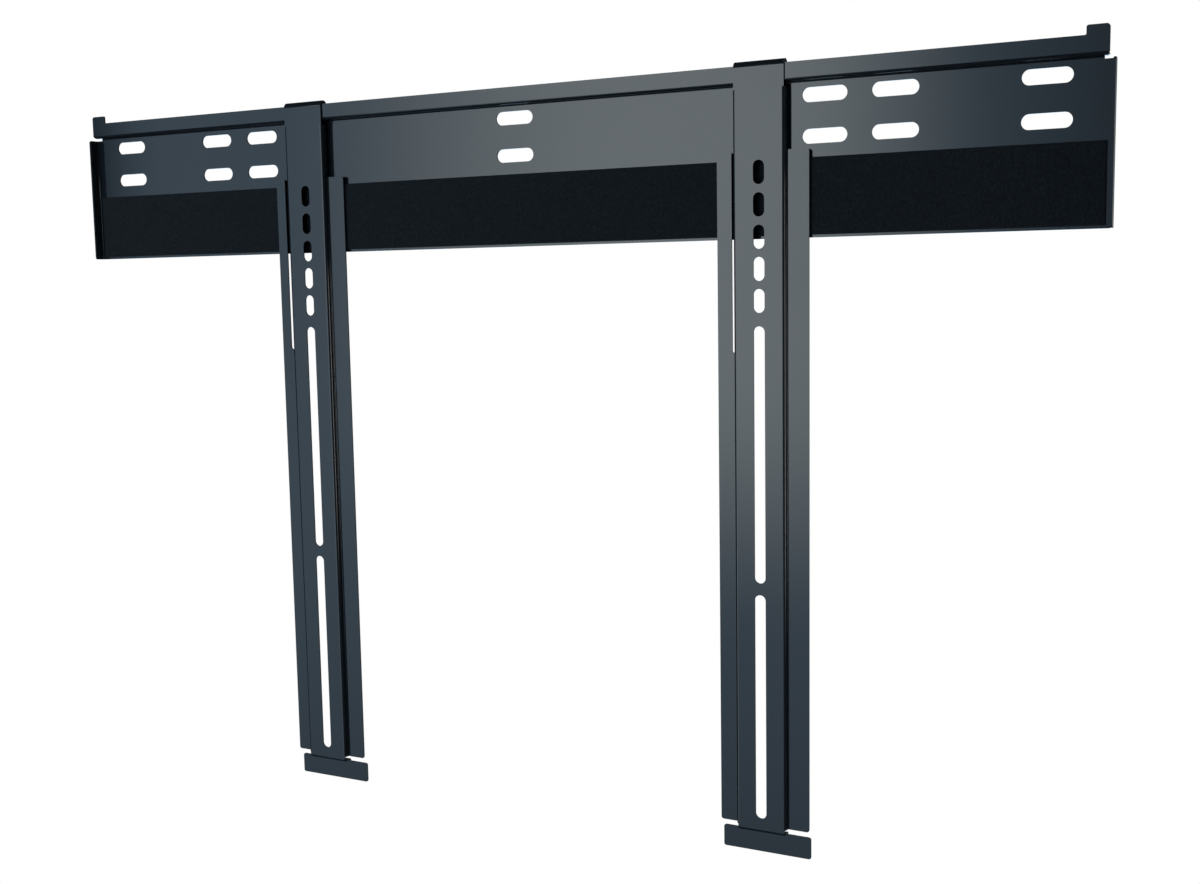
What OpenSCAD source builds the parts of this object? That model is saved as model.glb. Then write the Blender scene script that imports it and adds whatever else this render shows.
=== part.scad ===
// Slim wall mount for a flat screen: a folded wall plate with a raised rail,
// and two folded brackets that hook over the rail and stand on the wall below.
// Millimetres, +Z up. The wall is the plane Y = 0 and the front faces -Y.
// The origin is the centre of the wall plate's slot field, on the wall.

/* [Wall plate] */
// Width across the two end flanges
plate_w = 900; // [860:1:1000]
// Sheet thickness of the wall plate
plate_t = 1.5; // [1.2:0.1:2]
// Inner radius of every bend in the wall plate
plate_bend_r = 0.8; // [0.4:0.1:1]
// From the slot field's centre down to the plate's lower edge
plate_drop = 86.2; // [86:0.1:95]
// How far an end flange stands forward of the wall
end_flange_d = 9.8; // [7:0.1:14]
// From the slot field's centre up to the top of the end flanges
end_flange_rise = 22.75; // [20:0.05:23]
// Corner radius at the front of the end flanges
end_flange_corner_r = 2; // [1:0.1:3]

/* [Rail along the top] */
// From the slot field's centre up to the bend where the web ends
web_rise = 23.5; // [23.4:0.1:24.5]
// From the plate's front to the rail's front
rail_out = 6.8; // [6.2:0.1:8]
// From the slot field's centre up to the rail's top edge
rail_rise = 37.75; // [36:0.05:42]
// How far each rail end stays inside the plate's end
rail_inset = 4; // [3:0.1:6]
// How far each end of the step stays inside the plate's end
step_inset = 8; // [6:0.1:12]
// Radius of the rail's lower end corners
rail_corner_r = 3; // [1:0.1:4]
// Width of the ear at each end of the rail
ear_w = 14.7; // [10:0.1:20]
// Height of the ears above the rail
ear_h = 6.3; // [5:0.1:10]
// Radius of an ear's outer top corner
ear_outer_r = 2.3; // [1:0.1:4]
// Radius of an ear's inner top corner
ear_inner_r = 1.4; // [1:0.1:4]
// Radius between an ear and the rail's top edge
ear_foot_r = 1; // [0.5:0.1:2]

/* [Wall screw slots] */
// Length of a wall slot, end to end
wall_slot_l = 33.3; // [25:0.1:40]
// Width of a wall slot
wall_slot_w = 10.4; // [7:0.1:12]
// Height between the two slot rows
wall_row_gap = 29.1; // [26:0.1:30]
// From the centre column to the inner columns
inner_column_x = 254; // [245:0.5:258]
// From the centre column to the middle columns
middle_column_x = 304.8; // [300:0.1:320]
// From the centre column to the outer columns
outer_column_x = 406.4; // [370:0.1:407]

/* [Hook and loop tape] */
// Height of the strip on the plate
strip_h = 55; // [40:0.1:55.6]
// Plate left bare below the strip
strip_margin = 2; // [1:0.1:4]
// Gap between a strip end and the plate's end
strip_end_gap = 5; // [4:0.1:10]
// Thickness of the strip on the plate
strip_t = 1.4; // [1:0.1:1.8]
// Thickness of a pad on a bracket
pad_t = 1.4; // [1:0.1:1.8]
// Strip left bare above and below a pad
pad_margin = 1.5; // [0.5:0.1:6]
// Tape kept back from a flange's edges
pad_inset = 0.4; // [0.2:0.1:1]

/* [Brackets] */
// From the centre column to the left bracket's slots
left_bracket_x = -202.2; // [-207:0.1:-60]
// From the centre column to the right bracket's slots
right_bracket_x = 207.2; // [60:0.1:210]
// Sheet thickness of a bracket
bracket_t = 1.2; // [1:0.05:1.4]
// Inner radius of every bend in a bracket, but not of the hook
bracket_bend_r = 1; // [0.5:0.1:1]
// Width across the raised face
face_w = 40; // [36:0.5:42]
// How far each edge of the strap over the rail stays inside the face
strap_inset = 0.8; // [0:0.1:4]
// Gap between the strap and the rail's front
rail_gap = 0.3; // [0.2:0.1:1]
// From the slot line to the left flange's edge
left_flange_x = 34; // [32:0.1:38]
// From the slot line to the right flange's edge
right_flange_x = 36.7; // [34:0.1:40]
// From the slot field's centre down to the flange tops
flange_top_drop = 23.1; // [22:0.1:25]
// From the slot field's centre down to the flange ends
flange_end_drop = 529.6; // [526:0.1:530]
// Corner radius of the flanges
flange_corner_r = 2; // [1:0.1:4]
// From the slot field's centre up to the top of the side walls
side_wall_rise = 21; // [10:0.1:22]
// Radius of a side wall's top corner
side_wall_corner_r = 1; // [0.5:0.1:1.5]

/* [Hook over the rail] */
// Outer radius of the round hook
hook_r = 4.4; // [4.2:0.1:4.8]
// Gap between the rail's front top corner and the hook
hook_gap = 0.05; // [0.02:0.01:0.1]
// From the rail's top edge down to the end of the hook's back leg
hook_leg_l = 8.75; // [4:0.05:9]

/* [Foot on the wall] */
// From the slot field's centre down to the bend where the face ends
face_end_drop = 532; // [531:0.1:545]
// How far each edge of the neck above the foot stays inside the face
neck_inset = 1.5; // [0.5:0.1:5]
// Neck left below the last bend, above the foot's arms
foot_shoulder = 0.3; // [0.2:0.1:5]
// Height of the foot's arms
foot_h = 16.9; // [8:0.1:25]
// From the slot line to the foot's left end
foot_left_x = 33.6; // [30:0.1:38]
// From the slot line to the foot's right end
foot_right_x = 36.7; // [32:0.1:40]
// Corner radius of the foot
foot_corner_r = 1.8; // [1:0.1:4]

/* [Screen screw slots] */
// Width of every slot in a bracket
screen_slot_w = 8.6; // [5:0.1:10]
// Length of a short slot, end to end
short_slot_l = 17.4; // [14:0.1:20]
// Number of short slots
short_slot_n = 5; // [1:1:5]
// Height between short slots
short_slot_pitch = 23.2; // [22:0.1:24]
// From the slot field's centre down to the first short slot's centre
first_slot_drop = 38.3; // [20:0.1:40]
// From the slot field's centre down to the upper long slot's top
upper_slot_top_drop = 149.6; // [149:0.1:180]
// From the slot field's centre down to the upper long slot's end
upper_slot_end_drop = 341; // [220:0.5:343]
// From the slot field's centre down to the lower long slot's top
lower_slot_top_drop = 349.9; // [348:0.1:400]
// From the slot field's centre down to the lower long slot's end
lower_slot_end_drop = 523; // [450:0.5:526]

/* [Slit beside the left wall] */
// Width of the slit on the left bracket
left_slit_w = 5.2; // [2.3:0.1:6]
// Width of the slit on the right bracket
right_slit_w = 2.6; // [2.3:0.1:6]
// From the slot field's centre down to the slit's end
slit_end_drop = 169.1; // [120:0.1:300]

/* [Hidden] */
$fn = 48;
steel_colour = [0.13, 0.15, 0.17];
tape_colour = [0.05, 0.06, 0.07];
// overshoot of a cutting shape past the face it cuts
cut = 1;

// wall plate: depths are negative towards the front
plate_front = -plate_t;
plate_half = plate_w / 2;
plate_outer_r = plate_bend_r + plate_t;
end_bend_x = plate_half - plate_outer_r;
step_under = web_rise + plate_bend_r;
rail_front = plate_front - rail_out;
rail_start = step_under + plate_outer_r;
rail_half = plate_half - rail_inset;
step_half = plate_half - step_inset;
ear_top = rail_rise + ear_h;
ear_inner_x = rail_half - ear_w;
wall_row_z = wall_row_gap / 2;
right_columns = [inner_column_x, middle_column_x, outer_column_x];
wall_columns = concat([0], right_columns, -right_columns);

// tape
strip_bottom = -plate_drop + strip_margin;
strip_front = plate_front - strip_t;
strip_half = plate_half - strip_end_gap;

// bracket: depths follow from the rail in front and from the tape behind
face_back = rail_front - rail_gap;
face_front = face_back - bracket_t;
flange_back = strip_front - pad_t;
flange_front = flange_back - bracket_t;
bracket_outer_r = bracket_bend_r + bracket_t;
face_half = face_w / 2;
wall_inner_x = face_half - bracket_t;
flat_half = face_half - bracket_outer_r;
flange_start_x = face_half + bracket_bend_r;
flange_bend_y = flange_back - bracket_outer_r;
hook_inner_r = hook_r - bracket_t;
hook_y = face_front + hook_r;
// the rail's front top corner stands just inside the hook's inner arc
hook_reach = hook_inner_r - hook_gap;
corner_reach = hook_y - rail_front;
hook_rise = rail_rise - sqrt(hook_reach * hook_reach - corner_reach * corner_reach);
leg_end = rail_rise - hook_leg_l;
shelf_under = -face_end_drop - bracket_outer_r;
foot_start = shelf_under - bracket_bend_r;
foot_top = foot_start - foot_shoulder;
foot_bottom = foot_top - foot_h;
neck_half = face_half - neck_inset;
strap_half = face_half - strap_inset;
// the pads lie inside the strip's height
pad_bottom = strip_bottom + pad_margin;
pad_h = strip_h - 2 * pad_margin;
pad_right_inner_x = flange_start_x + pad_inset;

// a quarter ring of sheet about the origin, in the quarter that sx and sy name
module quarter_ring(outer_r, inner_r, sx, sy) {
    scale([sx, sy]) intersection() {
        difference() {
            circle(outer_r);
            circle(inner_r);
        }
        square(outer_r);
    }
}

// what a rounded corner takes away, with the corner at the origin
module corner_cut(r, sx, sy) {
    scale([sx, sy]) difference() {
        translate([-cut, -cut]) square(r + cut);
        translate([r, r]) circle(r);
    }
}

// what a rounded inside corner adds, with the corner at the origin
module corner_fill(r, sx, sy) {
    scale([sx, sy]) difference() {
        square(r);
        translate([r, r]) circle(r);
    }
}

// an outline drawn from the front, through the whole depth
module from_front(y0, y1) {
    translate([0, y1, 0]) rotate([90, 0, 0]) linear_extrude(y1 - y0) children();
}

// a section drawn as depth and height, run along X
module along_x(x0, x1) {
    translate([x0, 0, 0]) rotate([90, 0, 90]) linear_extrude(x1 - x0) children();
}

// a section drawn as X and depth, run along Z
module along_z(z0, z1) {
    translate([0, 0, z0]) linear_extrude(z1 - z0) children();
}

// rounded slot outline, end to end
module slot_across(length, width) {
    middle = length - width;
    square([middle, width], center = true);
    for (side = [-1, 1]) translate([side * middle / 2, 0]) circle(d = width);
}

// web, step and rail as one sheet: depth and height
module plate_section() {
    translate([plate_front, -plate_drop]) square([plate_t, plate_drop + web_rise]);
    translate([-plate_outer_r, web_rise]) quarter_ring(plate_outer_r, plate_bend_r, 1, 1);
    translate([rail_front + plate_outer_r, step_under]) square([-rail_front - 2 * plate_outer_r, plate_t]);
    translate([rail_front + plate_outer_r, rail_start]) quarter_ring(plate_outer_r, plate_bend_r, -1, -1);
    translate([rail_front, rail_start]) square([plate_t, ear_top - rail_start]);
}

// plate as seen from the front, without its end bends
module plate_outline() {
    translate([-end_bend_x, -plate_drop]) square([2 * end_bend_x, plate_drop + end_flange_rise]);
    translate([-step_half, 0]) square([2 * step_half, rail_start]);
    difference() {
        translate([-rail_half, step_under]) square([2 * rail_half, rail_rise - step_under]);
        translate([-rail_half, step_under]) corner_cut(rail_corner_r, 1, 1);
        translate([rail_half, step_under]) corner_cut(rail_corner_r, -1, 1);
    }
    for (side = [-1, 1]) scale([side, 1]) plate_ear();
}

module plate_ear() {
    difference() {
        translate([ear_inner_x, rail_start]) square([ear_w, ear_top - rail_start]);
        translate([rail_half, ear_top]) corner_cut(ear_outer_r, -1, -1);
        translate([ear_inner_x, ear_top]) corner_cut(ear_inner_r, 1, -1);
    }
    translate([ear_inner_x, rail_rise]) corner_fill(ear_foot_r, -1, 1);
}

// one end flange with its bend, on the right
module end_flange() {
    difference() {
        along_z(-plate_drop, end_flange_rise) {
            translate([end_bend_x, -plate_outer_r]) quarter_ring(plate_outer_r, plate_bend_r, 1, 1);
            translate([plate_half - plate_t, -end_flange_d]) square([plate_t, end_flange_d - plate_outer_r]);
        }
        along_x(plate_half - plate_t - cut, plate_half + cut) {
            translate([-end_flange_d, -plate_drop]) corner_cut(end_flange_corner_r, 1, 1);
            translate([-end_flange_d, end_flange_rise]) corner_cut(end_flange_corner_r, 1, -1);
        }
    }
}

module wall_plate() {
    color(steel_colour) difference() {
        union() {
            intersection() {
                along_x(-plate_half, plate_half) plate_section();
                from_front(rail_front - cut, cut) plate_outline();
            }
            end_flange();
            mirror([1, 0, 0]) end_flange();
        }
        from_front(plate_front - cut, cut) {
            for (x = wall_columns, z = [-wall_row_z, wall_row_z]) {
                translate([x, z]) slot_across(wall_slot_l, wall_slot_w);
            }
        }
    }
}

module plate_strip() {
    color(tape_colour) {
        translate([-strip_half, strip_front, strip_bottom]) cube([2 * strip_half, strip_t, strip_h]);
    }
}

// flat of the face between its side bends: X and depth
module face_flat() {
    translate([-flat_half, face_front]) square([2 * flat_half, bracket_t]);
}

// face with its side bends: X and depth
module channel_section() {
    face_flat();
    for (side = [-1, 1]) scale([side, 1]) translate([flat_half, face_front + bracket_outer_r]) {
        quarter_ring(bracket_outer_r, bracket_bend_r, 1, -1);
    }
}

// side walls from the face bends back to a given depth
module side_walls(depth) {
    start = face_front + bracket_outer_r;
    for (side = [-1, 1]) scale([side, 1]) {
        translate([wall_inner_x, start]) square([bracket_t, depth - start]);
    }
}

// bend and flange behind one side wall, out to a given edge
module flange_section(edge_x) {
    translate([flange_start_x, flange_bend_y]) quarter_ring(bracket_outer_r, bracket_bend_r, -1, 1);
    translate([flange_start_x, flange_front]) square([edge_x - flange_start_x, bracket_t]);
}

// face and side walls down the whole bracket, as far back as the flange bends,
// with the flat of the face run on into the strap and the neck
module bracket_channel() {
    along_z(-flange_end_drop - cut, side_wall_rise + cut) face_flat();
    along_z(-flange_end_drop, side_wall_rise) {
        channel_section();
        side_walls(flange_bend_y);
    }
}

// the two flanges with their bends, with a slit along the left wall
module bracket_flanges(slit_w) {
    difference() {
        along_z(-flange_end_drop, -flange_top_drop) {
            flange_section(right_flange_x);
            mirror([1, 0]) flange_section(left_flange_x);
        }
        from_front(flange_front - cut, flange_back + cut) {
            for (z = [-flange_end_drop, -flange_top_drop]) {
                up = z == -flange_end_drop ? 1 : -1;
                translate([right_flange_x, z]) corner_cut(flange_corner_r, -1, up);
                translate([-left_flange_x, z]) corner_cut(flange_corner_r, 1, up);
            }
        }
        from_front(flange_bend_y, flange_back + cut) bracket_slit(slit_w);
    }
}

// slit outline: it takes the whole bend off the left wall, down to its rounded end
module bracket_slit(slit_w) {
    difference() {
        translate([-face_half - slit_w, -slit_end_drop]) square([slit_w + bracket_t + cut, slit_end_drop]);
        translate([-face_half - slit_w, -slit_end_drop]) corner_cut(slit_w / 2, 1, 1);
    }
}

// above the flanges the side walls run straight back and end in a rounded corner
module bracket_neck() {
    difference() {
        along_z(-flange_top_drop, side_wall_rise) side_walls(flange_back);
        along_x(-face_half - cut, face_half + cut) {
            translate([flange_back, side_wall_rise]) corner_cut(side_wall_corner_r, -1, -1);
        }
    }
}

// strap and round hook: depth and height
module hook_section() {
    translate([hook_y, hook_rise]) {
        quarter_ring(hook_r, hook_inner_r, -1, 1);
        quarter_ring(hook_r, hook_inner_r, 1, 1);
        scale([1, -1]) translate([-hook_r, 0]) square([bracket_t, hook_rise - side_wall_rise]);
        scale([1, -1]) translate([hook_inner_r, 0]) square([bracket_t, hook_rise - leg_end]);
    }
}

// end of the face, shelf back to the wall and foot: depth and height
module foot_section() {
    translate([face_front + bracket_outer_r, -face_end_drop]) {
        quarter_ring(bracket_outer_r, bracket_bend_r, -1, -1);
        translate([-bracket_outer_r, 0]) square([bracket_t, face_end_drop - flange_end_drop]);
        translate([0, -bracket_outer_r]) square([-face_front - 2 * bracket_outer_r, bracket_t]);
    }
    translate([-bracket_outer_r, foot_start]) {
        quarter_ring(bracket_outer_r, bracket_bend_r, 1, 1);
        scale([1, -1]) translate([bracket_bend_r, 0]) square([bracket_t, foot_start - foot_bottom]);
    }
}

// neck and foot as seen from the front
module foot_outline() {
    foot_w = foot_left_x + foot_right_x;
    translate([-neck_half, foot_top - cut]) square([2 * neck_half, -foot_top]);
    difference() {
        translate([-foot_left_x, foot_bottom]) square([foot_w, foot_h]);
        for (end = [[-foot_left_x, 1], [foot_right_x, -1]]) {
            translate([end[0], foot_bottom]) corner_cut(foot_corner_r, end[1], 1);
            translate([end[0], foot_top]) corner_cut(foot_corner_r, end[1], -1);
        }
    }
}

module screen_slots() {
    for (i = [0 : short_slot_n - 1]) {
        short_slot_z = -first_slot_drop - i * short_slot_pitch;
        translate([0, short_slot_z]) rotate(90) slot_across(short_slot_l, screen_slot_w);
    }
    long_slot(upper_slot_top_drop, upper_slot_end_drop);
    long_slot(lower_slot_top_drop, lower_slot_end_drop);
}

module long_slot(top_drop, end_drop) {
    middle_drop = (top_drop + end_drop) / 2;
    translate([0, -middle_drop]) rotate(90) slot_across(end_drop - top_drop, screen_slot_w);
}

// one bracket about its own slot line
module bracket(slit_w) {
    color(steel_colour) difference() {
        union() {
            bracket_channel();
            bracket_flanges(slit_w);
            bracket_neck();
            along_x(-strap_half, strap_half) hook_section();
            intersection() {
                along_x(-foot_left_x, foot_right_x) foot_section();
                from_front(face_front - cut, cut) foot_outline();
            }
        }
        from_front(face_front - cut, face_back + cut) screen_slots();
    }
}

// tape behind a flange, between two distances from the slot line
module bracket_pad(x0, x1) {
    color(tape_colour) {
        translate([x0, flange_back, pad_bottom]) cube([x1 - x0, pad_t, pad_h]);
    }
}

module left_pad(slit_w) {
    bracket_pad(-left_flange_x + pad_inset, -face_half - slit_w - pad_inset);
}

module right_pad() {
    bracket_pad(pad_right_inner_x, right_flange_x - pad_inset);
}

module left_bracket() {
    translate([left_bracket_x, 0, 0]) bracket(left_slit_w);
}

module right_bracket() {
    translate([right_bracket_x, 0, 0]) bracket(right_slit_w);
}

module left_bracket_left_pad() {
    translate([left_bracket_x, 0, 0]) left_pad(left_slit_w);
}

module left_bracket_right_pad() {
    translate([left_bracket_x, 0, 0]) right_pad();
}

module right_bracket_left_pad() {
    translate([right_bracket_x, 0, 0]) left_pad(right_slit_w);
}

module right_bracket_right_pad() {
    translate([right_bracket_x, 0, 0]) right_pad();
}

wall_plate();
plate_strip();
left_bracket();
right_bracket();
left_bracket_left_pad();
left_bracket_right_pad();
right_bracket_left_pad();
right_bracket_right_pad();
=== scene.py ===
import math

import bmesh
import bpy
from mathutils import Matrix, Vector


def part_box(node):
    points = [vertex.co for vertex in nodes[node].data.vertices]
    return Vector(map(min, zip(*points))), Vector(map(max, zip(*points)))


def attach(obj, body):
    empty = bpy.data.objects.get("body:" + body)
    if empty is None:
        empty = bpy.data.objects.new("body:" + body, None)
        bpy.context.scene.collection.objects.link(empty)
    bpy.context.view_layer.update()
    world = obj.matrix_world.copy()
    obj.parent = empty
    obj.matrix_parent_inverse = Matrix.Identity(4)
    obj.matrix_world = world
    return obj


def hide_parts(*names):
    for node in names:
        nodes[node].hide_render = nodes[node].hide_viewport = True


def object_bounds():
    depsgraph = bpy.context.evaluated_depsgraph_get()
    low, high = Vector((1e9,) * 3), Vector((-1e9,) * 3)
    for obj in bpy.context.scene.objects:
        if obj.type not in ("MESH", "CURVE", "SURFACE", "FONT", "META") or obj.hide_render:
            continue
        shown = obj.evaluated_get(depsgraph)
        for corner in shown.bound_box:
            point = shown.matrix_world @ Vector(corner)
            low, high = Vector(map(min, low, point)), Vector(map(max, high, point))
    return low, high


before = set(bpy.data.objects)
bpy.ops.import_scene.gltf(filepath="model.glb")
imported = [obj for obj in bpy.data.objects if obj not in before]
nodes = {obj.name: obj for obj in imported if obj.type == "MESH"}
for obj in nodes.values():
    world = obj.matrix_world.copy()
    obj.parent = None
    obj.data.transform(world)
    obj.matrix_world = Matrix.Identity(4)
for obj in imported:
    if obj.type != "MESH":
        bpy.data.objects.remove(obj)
cad_low, cad_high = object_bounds()
scene = bpy.context.scene

STEEL_NODES = ("wall_plate", "left_bracket", "right_bracket")
PAD_NODES = (
    "left_bracket_left_pad",
    "left_bracket_right_pad",
    "right_bracket_left_pad",
    "right_bracket_right_pad",
)


# Helpers for node trees
def new_tree(name):
    mat = bpy.data.materials.new(name)
    mat.use_nodes = True
    tree = mat.node_tree
    tree.nodes.clear()
    out = tree.nodes.new("ShaderNodeOutputMaterial")
    return mat, tree, out


def object_coords(tree, scale=(1, 1, 1)):
    coords = tree.nodes.new("ShaderNodeTexCoord")
    mapping = tree.nodes.new("ShaderNodeMapping")
    mapping.inputs["Scale"].default_value = scale
    tree.links.new(coords.outputs["Object"], mapping.inputs["Vector"])
    return mapping.outputs["Vector"]


def noise(tree, vector, scale, detail=2.0, rough=0.5):
    node = tree.nodes.new("ShaderNodeTexNoise")
    node.inputs["Scale"].default_value = scale
    node.inputs["Detail"].default_value = detail
    node.inputs["Roughness"].default_value = rough
    tree.links.new(vector, node.inputs["Vector"])
    return node.outputs["Fac"]


def spread(tree, source, low, high):
    node = tree.nodes.new("ShaderNodeMapRange")
    node.inputs["From Min"].default_value = 0.25
    node.inputs["From Max"].default_value = 0.75
    node.inputs["To Min"].default_value = low
    node.inputs["To Max"].default_value = high
    tree.links.new(source, node.inputs["Value"])
    return node.outputs["Result"]


def two_colours(tree, source, dark, light):
    node = tree.nodes.new("ShaderNodeMix")
    node.data_type = "RGBA"
    node.inputs["A"].default_value = (*dark, 1)
    node.inputs["B"].default_value = (*light, 1)
    tree.links.new(source, node.inputs["Factor"])
    return node.outputs["Result"]


def bump(tree, height, strength, distance, before=None):
    node = tree.nodes.new("ShaderNodeBump")
    node.inputs["Strength"].default_value = strength
    node.inputs["Distance"].default_value = distance
    tree.links.new(height, node.inputs["Height"])
    if before is not None:
        tree.links.new(before, node.inputs["Normal"])
    return node.outputs["Normal"]


def multiply(tree, first, second):
    node = tree.nodes.new("ShaderNodeMath")
    node.operation = "MULTIPLY"
    tree.links.new(first, node.inputs[0])
    tree.links.new(second, node.inputs[1])
    return node.outputs["Value"]


# Materials: lengths in metres, noise scales in features per metre
COAT_DARK = (0.011, 0.0145, 0.018)
COAT_LIGHT = (0.013, 0.0175, 0.022)
LOOP_PITCH = 0.0009
LOOP_DARK = (0.0040, 0.0060, 0.0080)
LOOP_LIGHT = (0.0125, 0.0170, 0.0215)
HOOK_PITCH = 0.0012
HOOK_DARK = (0.007, 0.009, 0.011)
HOOK_LIGHT = (0.014, 0.017, 0.020)


def powder_coat():
    """Semi-gloss black powder coat: fine orange peel, faint streaks along X and slightly uneven gloss."""
    mat, tree, out = new_tree("black_powder_coat")
    bsdf = tree.nodes.new("ShaderNodeBsdfPrincipled")
    where = object_coords(tree)
    cloud = noise(tree, where, 38.0, 3.0)
    peel = noise(tree, where, 1300.0, 2.0)
    streaks = noise(tree, object_coords(tree, (0.05, 1.0, 1.0)), 700.0, 2.0)
    tree.links.new(two_colours(tree, cloud, COAT_DARK, COAT_LIGHT), bsdf.inputs["Base Color"])
    tree.links.new(spread(tree, cloud, 0.09, 0.12), bsdf.inputs["Roughness"])
    bsdf.inputs["IOR"].default_value = 1.5
    coarse = bump(tree, peel, 0.02, 0.0001)
    tree.links.new(bump(tree, streaks, 0.03, 0.00008, coarse), bsdf.inputs["Normal"])
    tree.links.new(bsdf.outputs["BSDF"], out.inputs["Surface"])
    return mat


def tape(name, pitch, dark, light):
    """Matt black tape: short upright dashes of pile in uneven rows."""
    mat, tree, out = new_tree(name)
    bsdf = tree.nodes.new("ShaderNodeBsdfPrincipled")
    dashes = noise(tree, object_coords(tree, (1.0, 1.0, 0.33)), 1 / pitch, 1.0, 0.5)
    rows = noise(tree, object_coords(tree, (0.12, 1.0, 1.0)), 0.6 / pitch, 2.0, 0.5)
    pile = multiply(tree, spread(tree, dashes, 0.0, 1.0), spread(tree, rows, 0.7, 1.3))
    tree.links.new(two_colours(tree, pile, dark, light), bsdf.inputs["Base Color"])
    bsdf.inputs["Roughness"].default_value = 0.92
    bsdf.inputs["Specular IOR Level"].default_value = 0.25
    bsdf.inputs["Sheen Weight"].default_value = 0.06
    bsdf.inputs["Sheen Roughness"].default_value = 0.6
    fuzz = noise(tree, object_coords(tree), 2600.0, 3.0, 0.6)
    relief = bump(tree, pile, 0.3, 0.0002)
    tree.links.new(bump(tree, fuzz, 0.5, 0.0003, relief), bsdf.inputs["Normal"])
    tree.links.new(bsdf.outputs["BSDF"], out.inputs["Surface"])
    return mat


coat = powder_coat()
loop_tape = tape("loop_tape", LOOP_PITCH, LOOP_DARK, LOOP_LIGHT)
hook_tape = tape("hook_tape", HOOK_PITCH, HOOK_DARK, HOOK_LIGHT)

# Folded steel: the CAD nodes stay, with their cut edges softened as paint does
SOFT_EDGE = 0.00022
SHARP_ANGLE = math.radians(50)
WELD_DISTANCE = 0.000002
for name in STEEL_NODES:
    obj = nodes[name]
    obj.data.materials.clear()
    obj.data.materials.append(coat)
    weld = obj.modifiers.new("weld", "WELD")
    weld.merge_threshold = WELD_DISTANCE
    soft = obj.modifiers.new("soft_edges", "BEVEL")
    soft.width = SOFT_EDGE
    soft.segments = 2
    soft.limit_method = "ANGLE"
    soft.angle_limit = SHARP_ANGLE
    soft.harden_normals = True


# Tape: a flat woven band with a selvedge, and the pile standing on it
STEP_LENGTH = 0.02
EDGE_ROUND = 0.00015
PILE_RISE = 0.0005
STRIP_SELVEDGE = 0.0012
PAD_SELVEDGE = 0.0006
TO_FRONT = -1
TO_WALL = 1


def tape_mesh(mesh, low, high, outward, selvedge, rise):
    """One closed band with its edges rounded; the part inside the selvedge stands proud by the rise."""
    band_low, band_high = list(low), list(high)
    if outward < 0:
        band_low[1] += rise
    else:
        band_high[1] -= rise
    made = bmesh.new()
    bmesh.ops.create_cube(made, size=1.0)
    size = [band_high[i] - band_low[i] for i in range(3)]
    middle = [(band_high[i] + band_low[i]) / 2 for i in range(3)]
    for vert in made.verts:
        vert.co = Vector(middle[i] + vert.co[i] * size[i] for i in range(3))
    steps = max(2, int(size[0] / STEP_LENGTH))
    for i in range(1, steps):
        at = band_low[0] + size[0] * i / steps
        bmesh.ops.bisect_plane(
            made,
            geom=made.verts[:] + made.edges[:] + made.faces[:],
            plane_co=(at, 0, 0),
            plane_no=(1, 0, 0),
        )
    made.normal_update()
    facing = [face for face in made.faces if face.normal.y * outward > 0.9]
    bmesh.ops.inset_region(made, faces=facing, thickness=selvedge, depth=rise, use_even_offset=True)
    made.normal_update()
    sharp = [edge for edge in made.edges if edge.calc_face_angle(0) > 0.5]
    bmesh.ops.bevel(made, geom=sharp, offset=EDGE_ROUND, segments=3, profile=0.5, affect="EDGES")
    made.to_mesh(mesh)
    made.free()


def tape_piece(name, node, mat, selvedge, outward):
    """Tape in its solid's place; outward is the side that the pile faces."""
    low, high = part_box(node)
    mesh = bpy.data.meshes.new(name)
    tape_mesh(mesh, low, high, outward, selvedge, PILE_RISE)
    mesh.materials.append(mat)
    obj = bpy.data.objects.new(name, mesh)
    scene.collection.objects.link(obj)
    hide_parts(node)
    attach(obj, "root")


tape_piece("woven_strip", "plate_strip", loop_tape, STRIP_SELVEDGE, TO_FRONT)
for node in PAD_NODES:
    tape_piece("woven_" + node, node, hook_tape, PAD_SELVEDGE, TO_WALL)

# Stage: pale floor and white surroundings
FLOOR_DROP = 0.07
FLOOR_X = (-5, 5)
FLOOR_Y = (-0.5, 8)
SURROUND_TINT = (0.62, 0.80, 1.0)
SURROUND_STRENGTH = 0.05


def seen_or_met(tree, seen, met, out):
    """The camera sees one shader, and every other ray meets the other."""
    path = tree.nodes.new("ShaderNodeLightPath")
    mix = tree.nodes.new("ShaderNodeMixShader")
    tree.links.new(path.outputs["Is Camera Ray"], mix.inputs["Fac"])
    tree.links.new(met, mix.inputs[1])
    tree.links.new(seen, mix.inputs[2])
    tree.links.new(mix.outputs["Shader"], out.inputs["Surface"])


def floor_material():
    mat, tree, out = new_tree("pale_floor")
    glow = tree.nodes.new("ShaderNodeEmission")
    glow.inputs["Color"].default_value = (1, 1, 1, 1)
    glow.inputs["Strength"].default_value = 1.0
    matt = tree.nodes.new("ShaderNodeBsdfDiffuse")
    matt.inputs["Color"].default_value = (0.6, 0.6, 0.6, 1)
    seen_or_met(tree, glow.outputs["Emission"], matt.outputs["BSDF"], out)
    return mat


def add_quad(name, corners, mat):
    mesh = bpy.data.meshes.new(name)
    mesh.from_pydata(corners, [], [(0, 1, 2, 3)])
    mesh.materials.append(mat)
    obj = bpy.data.objects.new(name, mesh)
    scene.collection.objects.link(obj)
    return obj


def add_floor():
    level = cad_low[2] - FLOOR_DROP
    (left, right), (front, back) = FLOOR_X, FLOOR_Y
    corners = [(left, front, level), (right, front, level), (right, back, level), (left, back, level)]
    floor = add_quad("floor", corners, floor_material())
    floor.visible_glossy = False


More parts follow.
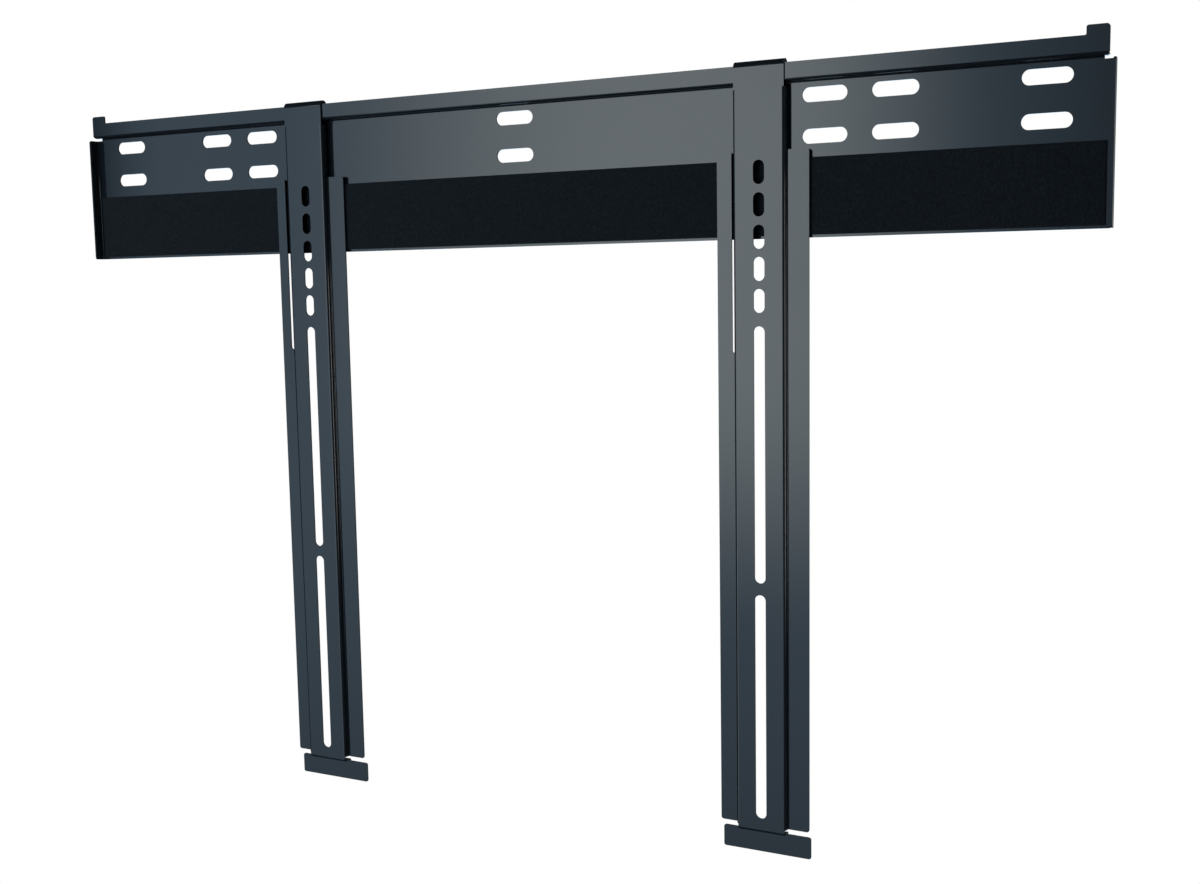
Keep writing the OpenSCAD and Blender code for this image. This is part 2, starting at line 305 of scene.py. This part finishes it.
def add_surroundings():
    world = bpy.data.worlds.new("studio")
    scene.world = world
    world.use_nodes = True
    tree = world.node_tree
    tree.nodes.clear()
    out = tree.nodes.new("ShaderNodeOutputWorld")
    white = tree.nodes.new("ShaderNodeBackground")
    white.inputs["Color"].default_value = (1, 1, 1, 1)
    dim = tree.nodes.new("ShaderNodeBackground")
    dim.inputs["Color"].default_value = (*SURROUND_TINT, 1)
    dim.inputs["Strength"].default_value = SURROUND_STRENGTH
    seen_or_met(tree, white.outputs["Background"], dim.outputs["Background"], out)


add_floor()
add_surroundings()


# Lights: glowing panels that the camera doesn't see
def soft_mask(tree, split, edges):
    """Product of soft edges: each edge is an axis, where it is dark and where it is lit."""
    mask = None
    for axis, dark, lit in edges:
        fade = tree.nodes.new("ShaderNodeMapRange")
        fade.interpolation_type = "SMOOTHSTEP"
        fade.inputs["From Min"].default_value = dark
        fade.inputs["From Max"].default_value = lit
        tree.links.new(split.outputs[axis], fade.inputs["Value"])
        edge = fade.outputs["Result"]
        mask = edge if mask is None else multiply(tree, mask, edge)
    return mask


def soft_glow(name, lights):
    """Glow of one or more soft lights: each has a tint, a strength and its edges."""
    mat, tree, out = new_tree(name)
    split = tree.nodes.new("ShaderNodeSeparateXYZ")
    tree.links.new(object_coords(tree), split.inputs["Vector"])
    total = None
    for tint, strength, edges in lights:
        power = tree.nodes.new("ShaderNodeMath")
        power.operation = "MULTIPLY"
        power.inputs[1].default_value = strength
        tree.links.new(soft_mask(tree, split, edges), power.inputs[0])
        glow = tree.nodes.new("ShaderNodeEmission")
        glow.inputs["Color"].default_value = (*tint, 1)
        tree.links.new(power.outputs["Value"], glow.inputs["Strength"])
        if total is None:
            total = glow.outputs["Emission"]
            continue
        both = tree.nodes.new("ShaderNodeAddShader")
        tree.links.new(total, both.inputs[0])
        tree.links.new(glow.outputs["Emission"], both.inputs[1])
        total = both.outputs["Shader"]
    tree.links.new(total, out.inputs["Surface"])
    return mat


def panel(name, x_ends, y_ends, z_ends, lights):
    """An upright panel from one end of a line on the floor to the other."""
    (x_first, x_last), (y_first, y_last), (low, high) = x_ends, y_ends, z_ends
    corners = [
        (x_first, y_first, low),
        (x_last, y_last, low),
        (x_last, y_last, high),
        (x_first, y_first, high),
    ]
    obj = add_quad(name, corners, soft_glow(name, lights))
    obj.visible_camera = False


# Each light is a tint, a strength and its edges: an axis, where it is dark and where it is lit
NEUTRAL = (0.96, 1.0, 0.95)
COOL = (0.58, 0.79, 1.0)
WHITE = (1.0, 1.0, 1.0)
KEY_LIGHT = (
    NEUTRAL,
    2.35,
    (("X", -1.9, -0.85), ("X", 0.0, -0.5), ("Z", -0.95, -0.3), ("Z", 0.5, 0.45)),
)
FILL_LIGHT = (
    COOL,
    1.4,
    (("X", -2.6, -2.3), ("X", 0.65, -0.35), ("Z", -3.0, -0.5), ("Z", 0.5, 0.45)),
)
SIDE_LIGHT = (WHITE, 4.0, (("Z", -1.2, -0.5),))
BACK_LIGHT = (WHITE, 0.25, (("Z", 1.5, 0.5),))
# Kept to the left, away from what the plate's right end mirrors in the photograph's view
BACK_KEY_LIGHT = (COOL, 2.0, (("X", 1.0, 0.2), ("Z", 1.5, 0.5)))
panel("front_glow", (-3.0, 1.2), (-2.0, -2.0), (-1.75, 0.54), [KEY_LIGHT, FILL_LIGHT])
panel("side_glow", (1.7, 1.7), (-0.25, 0.85), (-1.2, 0.5), [SIDE_LIGHT])
panel("back_glow", (-7.0, 7.0), (6.0, 6.0), (-6.0, 1.5), [BACK_LIGHT, BACK_KEY_LIGHT])

# Camera at the photograph's place, with its focal length in pixels of the photograph
CAMERA_AT = Vector((0.56765, -0.98235, -0.11668))
YAW = math.radians(26.849)
PITCH = math.radians(-6.420)
ROLL = math.radians(-0.964)
FOCAL_PIXELS = 1406.13
PHOTO_WIDTH = 1200.0
SENSOR_WIDTH = 36.0
forward = Vector((-math.sin(YAW) * math.cos(PITCH), math.cos(YAW) * math.cos(PITCH), math.sin(PITCH)))
level = Vector((math.cos(YAW), math.sin(YAW), 0))
upward = level.cross(forward)
right = math.cos(ROLL) * level + math.sin(ROLL) * upward
top = -math.sin(ROLL) * level + math.cos(ROLL) * upward
camera_data = bpy.data.cameras.new("camera")
camera_data.sensor_fit = "HORIZONTAL"
camera_data.sensor_width = SENSOR_WIDTH
camera_data.lens = SENSOR_WIDTH * FOCAL_PIXELS / PHOTO_WIDTH
camera_data.clip_start = 0.01
camera_data.clip_end = 50.0
camera = bpy.data.objects.new("camera", camera_data)
camera.matrix_world = Matrix.Translation(CAMERA_AT) @ Matrix((right, top, -forward)).transposed().to_4x4()
scene.collection.objects.link(camera)
scene.camera = camera

scene.view_settings.view_transform = "Standard"
scene.view_settings.look = "None"
